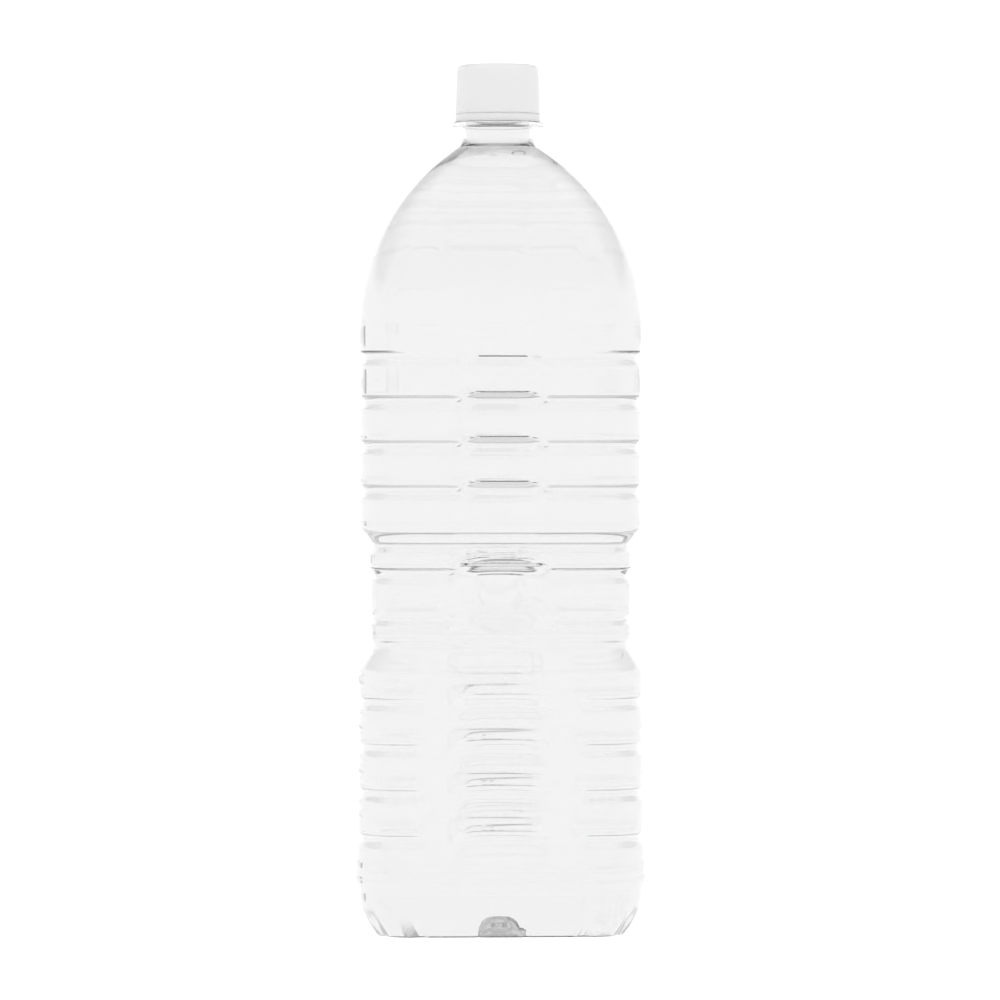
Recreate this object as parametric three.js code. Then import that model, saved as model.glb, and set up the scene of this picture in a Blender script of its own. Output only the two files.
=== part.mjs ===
// A full, unopened two-litre water bottle.
// It is a clear blow-moulded shell of rounded-rectangle section with a pinched waist, filled with
// water to the foot of the neck, and closed by a white screw cap over its tamper band.
// Millimetres, +Z up, front at -Y, wide sides front and rear, origin at the middle of the foot.
import * as THREE from 'three';

const { clamp, lerp, smoothstep } = THREE.MathUtils;

// Plan of the body: the section of the upper panels
const bodyHalfWidth = 50.8;
const bodyHalfDepth = 42.8;
const cornerRadius = 18;
const panelBow = 0.5;            // how far each flat side swells at its middle

// Heights
const heelTop = 14.2;
const shoulderFoot = 217;
const neckFoot = 283.6;
const waterLevel = 283.4;
const ringFoot = 292;
const ringTop = 293.8;
const neckTop = 312.7;
const capTop = 314.4;

// The wall's distance inside the upper panels, by height: shoulder foot, pinched waist, base bead
const wallStations = [
  [heelTop, -0.3],
  [16.8, -0.5],
  [20, -2],
  [34, -1],
  [95.4, -0.5],
  [104, 5.0],
  [107.3, 3.6],
  [137.5, 3.6],
  [140.2, 5.0],
  [147, 0],
  [207, 0],
  [213, -0.4],
  [shoulderFoot, -0.4],
];

// Grooves round the body: a steep wall below, a flat floor and a longer wall above
const grooveDepth = 1.45;
const panelGroove = { upperWall: 3.2, floor: 1.5, lowerWall: 2.1 };
const waistGroove = { upperWall: 1.5, floor: 1.9, lowerWall: 1.3 };
const upperGrooves = [0, 1, 2, 3].map((step) => 207.6 - 15.95 * step);
const lowerGrooves = [0, 1, 2, 3].map((step) => 84 - 16.3 * step);
const waistGrooves = [129.1, 113.9];
const upperGrooveStop = 14.2;    // half width of the plain land between a groove's two ends
const lowerGrooveStop = 28.8;

// Dimples on the front and the rear, one on each groove
const upperDimple = { halfWidth: 14.2, floorHalfWidth: 11, above: 4.1, below: 3.4, depth: 2.5 };
const lowerDimple = { halfWidth: 17.6, floorHalfWidth: 14.2, above: 6.0, below: 5.4, depth: 2.2 };

// Grip scoops at the front and the rear of the waist
const grip = { halfWidth: 17.6, top: 136.6, deepest: 131, foot: 109.2, depth: 6 };

// Foot: a flat ring, a shallow dish, a dome with the moulding gate in the middle, and heel flutes
const heelInset = 6.4;
const footWidth = 6;
const dish = 1.2;
const dome = { radius: 9, height: 5 };
const gateHeight = 3.6;
const flute = { depth: 1.6, halfWidth: 4.5, places: [9.4, 33.5] };

// Neck
const shoulderTopRadius = 15.4;
const neckRadius = 12.8;
const finishRadius = 12.4;
const boreRadius = 10.9;
const ringRadius = 16.6;

// Wall and fits
const wall = 1.2;
const groovedWall = 2.4;         // the plain inner wall clears the floors of the grooves
const baseWall = 1.6;
const waterGap = 0.5;
const baseGap = 0.4;

// Cap and tamper band
const capRadius = { top: 14.85, foot: 15.3 };
const capFoot = 297;
const capCorner = 2.2;
const capInnerRadius = 13.3;
const capPlate = 1.4;
const band = { foot: 294.5, top: 296.6, radius: 15.4, innerRadius: 13.4 };
const turnedSegments = 48;

// Directions of the shell's columns: x on the front face, then the corner, then y on the side
const frontColumns = [5, 9.4, 14.2, 17.6, 23, 28.8];
const cornerColumns = [38, 46, 54];
const sideColumns = [22, 9.4];

function quarterDirections() {
  const front = frontColumns.map((x) => Math.atan2(x, bodyHalfDepth));
  const corner = cornerColumns.map((degrees) => THREE.MathUtils.degToRad(degrees));
  const side = sideColumns.map((y) => Math.atan2(bodyHalfWidth, y));
  return [...front, ...corner, ...side];
}

// All directions counter-clockwise from the front, seen from above
function allDirections() {
  const quarter = quarterDirections();
  const mirrored = quarter.map((angle) => Math.PI - angle).reverse();
  const half = [0, ...quarter, Math.PI / 2, ...mirrored];
  return [...half, ...half.map((angle) => angle + Math.PI)];
}

// Value at z on a line through stations of [height, value]
function along(stations, z) {
  const next = stations.findIndex(([height]) => height >= z);
  if (next === -1) return stations[stations.length - 1][1];
  if (next === 0) return stations[0][1];
  const [lowHeight, lowValue] = stations[next - 1];
  const [highHeight, highValue] = stations[next];
  return lerp(lowValue, highValue, (z - lowHeight) / (highHeight - lowHeight));
}

// Half size on the shoulder: a dome that leaves the body upright and turns in faster near the neck
function shoulderHalf(z, halfSize) {
  const climb = clamp((z - shoulderFoot) / (neckFoot - shoulderFoot), 0, 1);
  return lerp(halfSize, shoulderTopRadius, 0.8 * climb ** 2 + 0.2 * climb ** 5);
}

// How far the heel has drawn in at z: a curve that meets the foot at an angle
function heelDraw(z, foot) {
  const fall = clamp((heelTop - z) / (heelTop - foot), 0, 1);
  return heelInset * fall ** 1.8;
}

// Half width, half depth and corner radius at z, drawn in by inset
function sectionAt(z, inset) {
  if (z > shoulderFoot) {
    const shoulderInset = along(wallStations, shoulderFoot);
    const climb = (z - shoulderFoot) / (neckFoot - shoulderFoot);
    return {
      halfWidth: shoulderHalf(z, bodyHalfWidth - shoulderInset) - inset,
      halfDepth: shoulderHalf(z, bodyHalfDepth - shoulderInset) - inset,
      corner: lerp(cornerRadius, shoulderTopRadius, climb) - inset,
      bow: panelBow * (1 - climb),
    };
  }
  const drawn = along(wallStations, z) + inset;
  return {
    halfWidth: bodyHalfWidth - drawn,
    halfDepth: bodyHalfDepth - drawn,
    corner: cornerRadius - drawn,
    bow: panelBow,
  };
}

// Depth of one groove at z, 0 outside its mouth and 1 on its floor
function grooveShape(z, centre, { upperWall, floor, lowerWall }) {
  const above = (centre + floor / 2 + upperWall - z) / upperWall;
  const below = (z - centre + floor / 2 + lowerWall) / lowerWall;
  return clamp(Math.min(above, below), 0, 1);
}

const deepestOf = (grooves, z, shape) => Math.max(...grooves.map((centre) => grooveShape(z, centre, shape)));

// Depth of the grooves at a point: they end before the middle of the front and the rear
function grooveDepthAt(x, z) {
  const upper = deepestOf(upperGrooves, z, panelGroove) * smoothstep(Math.abs(x), upperGrooveStop, 17.6);
  const lower = deepestOf(lowerGrooves, z, panelGroove) * smoothstep(Math.abs(x), lowerGrooveStop, 33);
  const waist = deepestOf(waistGrooves, z, waistGroove);
  return grooveDepth * Math.max(upper, lower, waist);
}

// Depth of one dimple at a point of the front or rear face
function dimpleDepth(x, z, centre, dimple) {
  const across = (dimple.halfWidth - Math.abs(x)) / (dimple.halfWidth - dimple.floorHalfWidth);
  const high = (centre + dimple.above - z) / (dimple.above - panelGroove.floor / 2);
  const low = (z - centre + dimple.below) / (dimple.below - panelGroove.floor / 2);
  return dimple.depth * clamp(Math.min(across, high, low), 0, 1);
}

// Depth of the grip scoop: a steep eyelid at the top and a long run-out below
function gripDepth(x, z) {
  const height = z > grip.deepest
    ? (grip.top - z) / (grip.top - grip.deepest)
    : Math.sqrt(clamp((z - grip.foot) / (grip.deepest - grip.foot), 0, 1));
  const across = 1 - Math.pow(Math.min(Math.abs(x) / grip.halfWidth, 1), 3);
  return grip.depth * clamp(height, 0, 1) * across;
}

// Everything pressed into the front and the rear
function faceRelief(x, z) {
  const upper = upperGrooves.map((centre) => dimpleDepth(x, z, centre, upperDimple));
  const lower = lowerGrooves.map((centre) => dimpleDepth(x, z, centre, lowerDimple));
  return Math.max(...upper, ...lower, gripDepth(x, z));
}

// The plain inner wall behind those pressings
function innerRelief(x, z) {
  const behindUpper = upperDimple.depth * smoothstep(z, 148, 156) * (1 - smoothstep(z, 212, 217));
  const behindLower = lowerDimple.depth * smoothstep(z, 20, 26) * (1 - smoothstep(z, 91, 96));
  const behindGrip = (grip.depth + 0.5) * smoothstep(z, 104, 112) * (1 - smoothstep(z, 135, 141));
  const deepest = Math.max(behindUpper, behindLower, behindGrip);
  return deepest * (1 - smoothstep(Math.abs(x), 19, 29));
}

// Flutes pressed through the heel and the foot, alike on all four sides
function fluteDepth(x, y, z) {
  const across = Math.min(Math.abs(x), Math.abs(y));
  const nearest = Math.min(...flute.places.map((place) => Math.abs(across - place)));
  const run = clamp(1 - z / heelTop, 0, 1);
  return flute.depth * run * Math.max(0, 1 - nearest / flute.halfWidth);
}

// Point of a rounded rectangle in the direction of an angle from the front, -Y
function sectionPoint(angle, { halfWidth, halfDepth, corner, bow }) {
  const across = Math.max(Math.abs(Math.sin(angle)), 1e-9);
  const deep = Math.max(Math.abs(Math.cos(angle)), 1e-9);
  const radius = clamp(corner, 0, Math.min(halfWidth, halfDepth));
  const cornerX = halfWidth - radius;
  const cornerY = halfDepth - radius;
  const toSide = halfWidth / across;
  const toFront = halfDepth / deep;
  const reach = cornerX * across + cornerY * deep;
  const spread = reach * reach - (cornerX * cornerX + cornerY * cornerY - radius * radius);
  let distance = reach + Math.sqrt(Math.max(spread, 0));
  let swell = 0;
  if (toSide * deep <= cornerY) {
    distance = toSide;
    swell = bow * (1 - (toSide * deep / cornerY) ** 2);
  } else if (toFront * across <= cornerX) {
    distance = toFront;
    swell = bow * (1 - (toFront * across / cornerX) ** 2);
  }
  // the nominal sizes are the swollen ones, so the corners stand back by the bow
  distance += (swell - bow) / Math.max(across, deep);
  return new THREE.Vector2(Math.sin(angle) * distance, -Math.cos(angle) * distance);
}

// Moves a point of the front or the rear towards the middle of the bottle
function press(point, depth) {
  const onFace = Math.abs(point.y) > Math.abs(point.x) * bodyHalfDepth / bodyHalfWidth;
  if (onFace) point.y -= Math.sign(point.y) * depth;
}

const outerDirections = allDirections();
const innerDirections = outerDirections.filter((angle, index) => index % 2 === 0);

// One ring of the outer surface at z, with all its relief
function outerRing(z) {
  return outerDirections.map((angle) => {
    const plain = sectionPoint(angle, sectionAt(z, 0));
    const draw = grooveDepthAt(plain.x, z) + heelDraw(z, 0);
    const point = sectionPoint(angle, sectionAt(z, draw + fluteDepth(plain.x, plain.y, z)));
    press(point, faceRelief(point.x, z));
    return new THREE.Vector3(point.x, point.y, z);
  });
}

// One ring of the plain inner surface at z
function innerRing(z, inset, foot) {
  return innerDirections.map((angle) => {
    const plain = sectionPoint(angle, sectionAt(z, 0));
    const point = sectionPoint(angle, sectionAt(z, inset + heelDraw(z, foot)));
    press(point, innerRelief(plain.x, z));
    return new THREE.Vector3(point.x, point.y, z);
  });
}

const roundRing = (directions, radius, z) =>
  directions.map((angle) => new THREE.Vector3(Math.sin(angle) * radius, -Math.cos(angle) * radius, z));

// A ring drawn towards the middle, for the dish under the bottle
function shrunkRing(ring, share, z) {
  return ring.map((point) => new THREE.Vector3(point.x * share, point.y * share, z));
}

// Heights of the outer rings
function grooveEdges(centre, { upperWall, floor, lowerWall }) {
  const half = floor / 2;
  return [centre - half - lowerWall, centre - half, centre + half, centre + half + upperWall];
}

function outerHeights() {
  const heel = [0, 0.9, 3, 6, 9.5];
  const stations = wallStations.map(([height]) => height);
  const upper = upperGrooves.flatMap((centre) => grooveEdges(centre, panelGroove));
  const lower = lowerGrooves.flatMap((centre) => [
    centre - lowerDimple.below,
    ...grooveEdges(centre, panelGroove),
    centre + lowerDimple.above,
  ]);
  const waist = waistGrooves.flatMap((centre) => grooveEdges(centre, waistGroove));
  const gripHeights = [grip.foot, 119, 123, 134, grip.top];
  const shoulder = [223, 230, 237, 244, 251, 258, 264, 270, 275.5, 280, neckFoot];
  const heights = [...heel, ...stations, ...upper, ...lower, ...waist, ...gripHeights, ...shoulder];
  return [...new Set(heights)].sort((one, other) => one - other);
}

const innerHeights = [
  neckFoot, 280, 275.5, 270, 264, 251, 237, 223, shoulderFoot, 212, 207, 156, 148, 147, 140.2,
  137.5, 122, 107.3, 104, 96.4, 91, 26, 20, 16.8, heelTop, 9.5, 6, 3.5,
];

// How far inside the outer surface the plain inner wall stands at z
function innerInset(z) {
  const grooved = (1 - smoothstep(z, shoulderFoot, 237)) * smoothstep(z, 6, heelTop);
  return lerp(wall, groovedWall, grooved);
}

// Joins rings into one closed mesh from a first pole to a last one
function loft(firstPole, rings, lastPole) {
  const points = [firstPole, ...rings.flat(), lastPole];
  const starts = [];
  let start = 1;
  for (const ring of rings) {
    starts.push(start);
    start += ring.length;
  }
  const triangles = [];
  const first = rings[0].length;
  for (let i = 0; i < first; i += 1) {
    triangles.push(0, starts[0] + (i + 1) % first, starts[0] + i);
  }
  for (let k = 0; k + 1 < rings.length; k += 1) {
    const count = rings[k].length;
    const nextCount = rings[k + 1].length;
    const at = (i) => starts[k] + i % count;
    const over = (i) => starts[k + 1] + i % nextCount;
    // the diagonals mirror left to right, and those of two parallel walls lie side by side
    const rising = rings[k + 1][0].z > rings[k][0].z;
    if (count === nextCount) {
      for (let i = 0; i < count; i += 1) {
        if ((i < count / 2) === rising) {
          triangles.push(at(i), at(i + 1), over(i + 1), at(i), over(i + 1), over(i));
        } else {
          triangles.push(at(i), at(i + 1), over(i), at(i + 1), over(i + 1), over(i));
        }
      }
    } else {
      for (let i = 0; i < nextCount; i += 1) {
        const middle = 2 * i + 1;
        triangles.push(at(2 * i), at(middle), over(i));
        triangles.push(at(middle), over(i + 1), over(i));
        triangles.push(at(middle), at(2 * i + 2), over(i + 1));
      }
    }
  }
  const last = rings[rings.length - 1].length;
  const lastStart = starts[starts.length - 1];
  for (let i = 0; i < last; i += 1) {
    triangles.push(points.length - 1, lastStart + i, lastStart + (i + 1) % last);
  }
  const geometry = new THREE.BufferGeometry().setFromPoints(points);
  geometry.setIndex(triangles);
  geometry.computeVertexNormals();
  return geometry;
}

// Rings under the bottle, from the dome round the gate to the inner edge of the foot
function baseRings(directions, footRing, lift) {
  const edge = 1 - footWidth / Math.abs(footRing[0].y);
  const domeRings = [[2.4, dome.height], [0.72 * dome.radius, 0.76 * dome.height], [dome.radius, dish]];
  const rings = domeRings.map(([radius, z]) => roundRing(directions, radius, z + lift));
  rings.push(shrunkRing(footRing, edge, lift));
  return rings;
}

function bottleGeometry() {
  const outer = outerHeights().map(outerRing);
  const neck = [
    [14.2, 284.5], [13.4, 285.8], [neckRadius, 288.5], [neckRadius, ringFoot], [ringRadius, ringFoot + 0.4],
    [ringRadius, ringTop - 0.4], [neckRadius + 0.5, ringTop], [finishRadius, ringTop + 0.5],
    [finishRadius, neckTop - 0.4], [finishRadius - 0.4, neckTop],
  ].map(([radius, z]) => roundRing(outerDirections, radius, z));
  const bore = [neckTop, 289, 286.5].map((z) => roundRing(innerDirections, boreRadius, z));
  const inner = innerHeights.map((z) => innerRing(z, innerInset(z), baseWall));
  const innerFoot = innerRing(baseWall, wall, baseWall);
  const base = baseRings(outerDirections, outer[0], 0);
  const innerBase = baseRings(innerDirections, innerFoot, baseWall).reverse();
  const rings = [...base, ...outer, ...neck, ...bore, ...inner, innerFoot, ...innerBase];
  const gate = new THREE.Vector3(0, 0, gateHeight);
  const innerMiddle = new THREE.Vector3(0, 0, dome.height + baseWall);
  return loft(gate, rings, innerMiddle);
}

function waterGeometry() {
  const foot = baseWall + baseGap;
  const heights = innerHeights.filter((z) => z < waterLevel).reverse();
  const rings = [
    ...baseRings(innerDirections, innerRing(baseWall, wall, baseWall), foot),
    innerRing(foot, wall + waterGap, foot),
    ...heights.map((z) => innerRing(z, innerInset(z) + waterGap, foot)),
    innerRing(waterLevel, wall + waterGap, foot),
  ];
  const bottom = new THREE.Vector3(0, 0, dome.height + foot);
  const surface = new THREE.Vector3(0, 0, waterLevel);
  return loft(bottom, rings, surface);
}

// A turned piece: a profile of [radius, height] that closes on itself, revolved about +Z
function turned(profile) {
  const points = [...profile, profile[0]].map(([radius, height]) => new THREE.Vector2(radius, height));
  const geometry = new THREE.LatheGeometry(points, turnedSegments);
  return geometry.rotateX(Math.PI / 2);
}

function capGeometry() {
  const corner = [0, 1, 2, 3].map((step) => {
    const angle = step / 3 * Math.PI / 2;
    const radius = capRadius.top - capCorner * (1 - Math.cos(angle));
    return [radius, capTop - capCorner * (1 - Math.sin(angle))];
  });
  return turned([
    [0, capTop - capPlate],
    [capInnerRadius, capTop - capPlate],
    [capInnerRadius, capFoot],
    [capRadius.foot, capFoot],
    ...corner,
    [0, capTop],
  ]);
}

function tamperBandGeometry() {
  const { foot, top, radius, innerRadius } = band;
  return turned([[innerRadius, top], [innerRadius, foot], [radius, foot], [radius, top]]);
}

// Each piece with its own material
function piece(name, geometry, finish) {
  const mesh = new THREE.Mesh(geometry, new THREE.MeshStandardMaterial(finish));
  mesh.name = name;
  return mesh;
}

const clearPet = { color: 0xf4f7f8, roughness: 0.05, metalness: 0, transparent: true, opacity: 0.25 };
const water = { color: 0xeef5f7, roughness: 0.02, metalness: 0, transparent: true, opacity: 0.35 };
const whitePolyethylene = { color: 0xefefef, roughness: 0.42, metalness: 0 };

const bottle = new THREE.Group();
bottle.add(piece('bottle', bottleGeometry(), clearPet));
bottle.add(piece('water', waterGeometry(), water));
bottle.add(piece('cap', capGeometry(), whitePolyethylene));
bottle.add(piece('tamper_band', tamperBandGeometry(), whitePolyethylene));

export default bottle;
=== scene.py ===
# %% [markdown]
# # A full two-litre water bottle
#
# This lesson models a clear, unlabelled bottle of water: a thin blow-moulded shell, the water
# inside it, a white screw cap and the tamper band under the cap. Clear things have no colour of
# their own. What the eye reads is how they bend the light of the room, so most of the work goes
# into the true shape of the walls and into a plain, bright studio for them to bend.

# %% Start
import math

import bmesh
import bpy
import numpy as np
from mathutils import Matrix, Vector


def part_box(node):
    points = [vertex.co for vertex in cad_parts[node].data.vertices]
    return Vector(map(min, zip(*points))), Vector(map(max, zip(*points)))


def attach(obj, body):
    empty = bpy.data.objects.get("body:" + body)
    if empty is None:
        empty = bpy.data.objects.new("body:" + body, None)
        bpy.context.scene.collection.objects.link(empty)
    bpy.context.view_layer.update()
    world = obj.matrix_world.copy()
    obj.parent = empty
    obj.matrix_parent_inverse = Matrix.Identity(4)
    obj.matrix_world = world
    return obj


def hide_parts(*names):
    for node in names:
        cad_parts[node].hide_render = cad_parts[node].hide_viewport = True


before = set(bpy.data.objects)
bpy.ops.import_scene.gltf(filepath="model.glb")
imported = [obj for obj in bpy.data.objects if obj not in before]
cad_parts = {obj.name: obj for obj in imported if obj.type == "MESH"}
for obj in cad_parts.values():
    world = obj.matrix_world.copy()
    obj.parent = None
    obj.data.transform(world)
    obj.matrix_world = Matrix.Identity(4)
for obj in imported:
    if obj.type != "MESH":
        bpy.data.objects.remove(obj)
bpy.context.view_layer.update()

MM = 0.001
scene = bpy.context.scene

# %% [markdown]
# ## Reading the frame
#
# The engineering model already fixes every size. A maker's drawing would give the same few
# numbers: how wide the base bead is, where the water stands, where the cap sits. Reading them
# from the frame keeps the fine surface exactly over the solid one.

# %% Sizes from the frame
def box_mm(node):
    """Lowest and highest corner of a frame node, in millimetres."""
    low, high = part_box(node)
    return np.array(low) / MM, np.array(high) / MM


bottle_high = box_mm("bottle")[1]
water_high = box_mm("water")[1]
cap_low, cap_high = box_mm("cap")
band_high = box_mm("tamper_band")[1]

BEAD_SWELL = 2.0                            # the base bead stands out this far from the upper panels
HALF_WIDTH = bottle_high[0] - BEAD_SWELL    # the upper panels, side to side
HALF_DEPTH = bottle_high[1] - BEAD_SWELL
NECK_TOP = bottle_high[2]
WATER_LEVEL = water_high[2]
print("upper panels, mm:", round(2 * HALF_WIDTH, 1), "x", round(2 * HALF_DEPTH, 1))
print("water stands at", round(WATER_LEVEL, 1), "mm")

# %% [markdown]
# ## The bottle's form, as a mould maker would note it
#
# A blow mould is cut from a handful of numbers: the section in plan, the line of the wall in
# side view, and then ribs and dimples set into it. The section here is a rounded rectangle with
# slightly swollen sides. The wall line is a polyline whose corners are softened, because hot
# plastic never fills a sharp corner of the mould. A spline would need more points for the same
# line, and each would be harder to read as a size.

# %% Wall line
CORNER_RADIUS = 18.0        # of the section
PANEL_BOW = 0.5             # how far the middle of each side swells out
HEEL_TOP = 14.2
SHOULDER_FOOT = 217.0
NECK_FOOT = 283.6
SHOULDER_TOP_RADIUS = 15.4
WAIST_INSET = 3.6
WALL_SOFTENING = 0.9        # the wall line's corners are rounded over this distance

# Distance of the wall inside the upper panels, by height
WALL_LINE = [
    (HEEL_TOP, -0.3),
    (16.8, -0.6),
    (20.2, -BEAD_SWELL),    # base bead
    (34.0, -1.0),
    (95.4, -0.5),           # top of the lower body
    (104.0, 5.0),           # valley under the flare
    (107.3, WAIST_INSET),
    (137.5, WAIST_INSET),
    (140.5, 5.0),           # valley under the lip
    (146.5, 0.0),           # lip
    (207.0, 0.0),
    (213.0, -0.4),
    (SHOULDER_FOOT, -0.4),
]


def wall_line(height):
    """The wall line's value at each height, with its corners rounded."""
    heights, values = zip(*WALL_LINE)
    offsets = np.linspace(-WALL_SOFTENING, WALL_SOFTENING, 9)
    return np.mean([np.interp(height + offset, heights, values) for offset in offsets], axis=0)


print("waist is", round(2 * (HALF_WIDTH - WAIST_INSET), 1), "mm wide")

# %% Shoulder line
LATE_TURN = 0.2             # share of the shoulder's curve that is left for the last stretch


def shoulder_climb(height):
    """0 at the foot of the shoulder, 1 at the foot of the neck."""
    return np.clip((height - SHOULDER_FOOT) / (NECK_FOOT - SHOULDER_FOOT), 0, 1)


def shoulder_half(height, half_size):
    """Half size on the domed shoulder, which turns in faster near the neck."""
    climb = shoulder_climb(height)
    drawn_in = (1 - LATE_TURN) * climb ** 2 + LATE_TURN * climb ** 5
    return half_size + (SHOULDER_TOP_RADIUS - half_size) * drawn_in


print("shoulder is", round(2 * float(shoulder_half(250.0, HALF_WIDTH)), 1), "mm wide at 250 mm")

# %% [markdown]
# ## Relief in the wall
#
# Water is heavy and the wall is thinner than half a millimetre, so the mould presses ribs,
# dimples and a grip into it. Each is a field here: a function that gives its depth at any point
# of the wall. Cutting them with boolean solids would leave ragged triangles, which refraction
# shows at once. Fields can be added, blended and faded like other numbers, and the even mesh
# simply follows them.
#
# Where a mould has a crisp edge, the wall has a crease: a small steep step. Its slope bends the
# light of a dark belt in the studio towards the eye, and that is the thin grey line of the
# photograph. Softer walls bend light less and stay bright.

# %% Blending helpers
RAMP_ROUNDING = 0.16        # a ramp's ends are rounded over this share of its length, each way
CREASE_REACH = 1.4          # the wall drifts back to its line this far from a crease


def step_between(low, high, value):
    """0 below low, 1 above high, and a smooth S between."""
    t = np.clip((value - low) / (high - low), 0, 1)
    return t * t * (3 - 2 * t)


def ramp_between(low, high, value):
    """0 below low, 1 above high, and a straight ramp with rounded ends between."""
    offsets = np.linspace(-RAMP_ROUNDING, RAMP_ROUNDING, 7)
    t = (value - low) / (high - low) * (1 + 2 * RAMP_ROUNDING) - RAMP_ROUNDING
    return np.mean([np.clip(t + offset, 0, 1) for offset in offsets], axis=0)


def blunt_minimum(*values, blend):
    """The least of several fields, with the edges between them rounded."""
    least = np.min(values, axis=0)
    return least - blend * np.log(sum(np.exp((least - value) / blend) for value in values))


def above_zero(depth, blend):
    """The depth where it is positive and 0 elsewhere, with a rounded edge between."""
    return np.maximum(depth, 0) + blend * np.log1p(np.exp(-np.abs(depth) / blend))


def crease(distance, step, width=0.4):
    """A crisp edge: the wall steps in over the width and drifts back on both sides."""
    half_width = width / 2
    places = [-CREASE_REACH, -half_width, half_width, CREASE_REACH]
    return step / 2 * np.interp(distance, places, [0, -1, 1, 0])


print("a 0.3 mm step over 0.3 mm leans", round(math.degrees(math.atan2(0.3, 0.3))), "degrees")

# %% [markdown]
# ## Ribs
#
# Ribs run round the body like the hoops of a barrel. On the wide sides they stop short of the
# middle, where they give way to dimples and, at the waist, to the grip. A rib's trough has an
# S-shaped slope above and a straight one below, and a crisp edge lies on its upper slope. The
# rear is given softer edges than the front: seen through the water, two equal sets of lines
# would lie over each other.

# %% Ribs
RIB_DEPTH = 1.55
UPPER_RIBS = [207.6 - 15.95 * k for k in range(4)]    # heights of the troughs, from the top down
LOWER_RIBS = [84.0 - 16.3 * k for k in range(4)]
HIGH_WAIST_RIB, LOW_WAIST_RIB = 129.1, 113.9
PANEL_RIB = {"above": 3.4, "floor": -0.2, "below": 3.0}    # lengths of the slopes, shift of the floor
WAIST_RIB = {"above": 3.4, "floor": 0.0, "below": 2.8}

# Ribs rise from the plain middle of a wide side between these distances from it
UPPER_START = (14.3, 16.8)
LOWER_START = (27.0, 31.0)
HIGH_WAIST_START = (17.0, 19.2)
LOW_WAIST_START = (17.8, 20.4)
TOPMOST_EDGE_START = (30.0, 42.0)    # the topmost rib is crisp at the corners alone
LOW_WAIST_SHARE = 0.8                # the low waist rib is shallower

PANEL_EDGE, WAIST_EDGE = 1.7, 2.7    # height of the crisp edge above each trough
LIP_EDGES = {144.9: 0.35, 141.2: 0.35}      # height: step
FLARE_EDGES = {108.0: 0.22, 105.9: 0.20}
REAR_CRISPNESS = 0.25
CRISPNESS_BLEND = 10.0               # on the sides, crispness changes over this distance each way


def rib(height, centre, above, floor, below):
    """Depth of a rib's trough, whose floor lies at centre + floor."""
    lift = height - centre - floor
    fall = step_between(0, above, above - lift)
    climb = ramp_between(0, below, below + lift)
    return RIB_DEPTH * np.minimum(fall, climb)


def ribs(x, y, height):
    """Depth of the ribs, and of the crisp edges that run round the body."""
    from_middle = np.abs(x)
    crispness = np.interp(y, [-CRISPNESS_BLEND, CRISPNESS_BLEND], [1.0, REAR_CRISPNESS])
    upper = step_between(*UPPER_START, from_middle)
    lower = step_between(*LOWER_START, from_middle)
    edges_round_body = {**LIP_EDGES, **FLARE_EDGES}
    depth = crispness * sum(crease(edge - height, step) for edge, step in edges_round_body.items())
    for centre in UPPER_RIBS:
        depth += upper * rib(height, centre, **PANEL_RIB)
    for centre in UPPER_RIBS[1:]:
        depth += crispness * upper * crease(centre + PANEL_EDGE - height, step=0.28, width=0.3)
    at_corner = step_between(*TOPMOST_EDGE_START, from_middle)
    depth += crispness * at_corner * crease(UPPER_RIBS[0] + PANEL_EDGE - height, step=0.4, width=0.3)
    for centre in LOWER_RIBS:
        edge = crispness * crease(centre + PANEL_EDGE - height, step=0.24, width=0.3)
        depth += lower * (rib(height, centre, **PANEL_RIB) + edge)
    edge = crispness * crease(HIGH_WAIST_RIB + WAIST_EDGE - height, step=0.5)
    high_waist = step_between(*HIGH_WAIST_START, from_middle)
    depth += high_waist * (rib(height, HIGH_WAIST_RIB, **WAIST_RIB) + edge)
    low_waist = LOW_WAIST_SHARE * step_between(*LOW_WAIST_START, from_middle)
    return depth + low_waist * rib(height, LOW_WAIST_RIB, **WAIST_RIB)


print("ribs at", [round(c, 1) for c in UPPER_RIBS + [HIGH_WAIST_RIB, LOW_WAIST_RIB] + LOWER_RIBS])

# %% [markdown]
# ## Dimples
#
# The dimples stop the flat middle of each wide side from bulging. Those of the upper body are
# long hexagons with a flat facet above, tilted far enough to look grey from the front. Those of
# the lower body are soft ovals with one crisp edge. Taking the least of several sloping planes
# gives a hexagon's facets in a few lines, and blunting that minimum rounds where they meet.

# %% Upper dimples
DIMPLE_TOP, DIMPLE_FOOT = 3.45, 3.6    # above and below the centre, along the straight edges
DIMPLE_HALF_LENGTH = 13.7
DIMPLE_STRAIGHT = 9.8                  # half the straight part of the top edge
DIMPLE_TIP_SLOPE = 0.34                # how fast the top edge falls from there to the tip
DIMPLE_DEPTH = 2.45
SOFT_SLOPE = 0.60                      # of the facets below and at the ends
FACET_SLOPE, CRISP_SLOPE_GAIN = 0.75, 0.45    # of the facet above, which is steeper where edges are crisp
TIP_GAIN = 2.4                         # the crisp edges deepen towards the tips
TIP_GAIN_FROM, TIP_GAIN_TO = 9.5, 13.0
EDGE_FADE = 0.5                        # the crisp edges fade out over this depth at the rim
RIM_MARGIN, TOP_MARGIN = 0.2, 0.5      # and reach this far past it, and past the top edge
TOPMOST_DEPTH = 0.4                    # the topmost dimple is this share as deep, and its edge is one line
TOPMOST_EDGE = 0.2                     # height of that line above the centre
TOPMOST_LINE_HALF = 10.0


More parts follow.
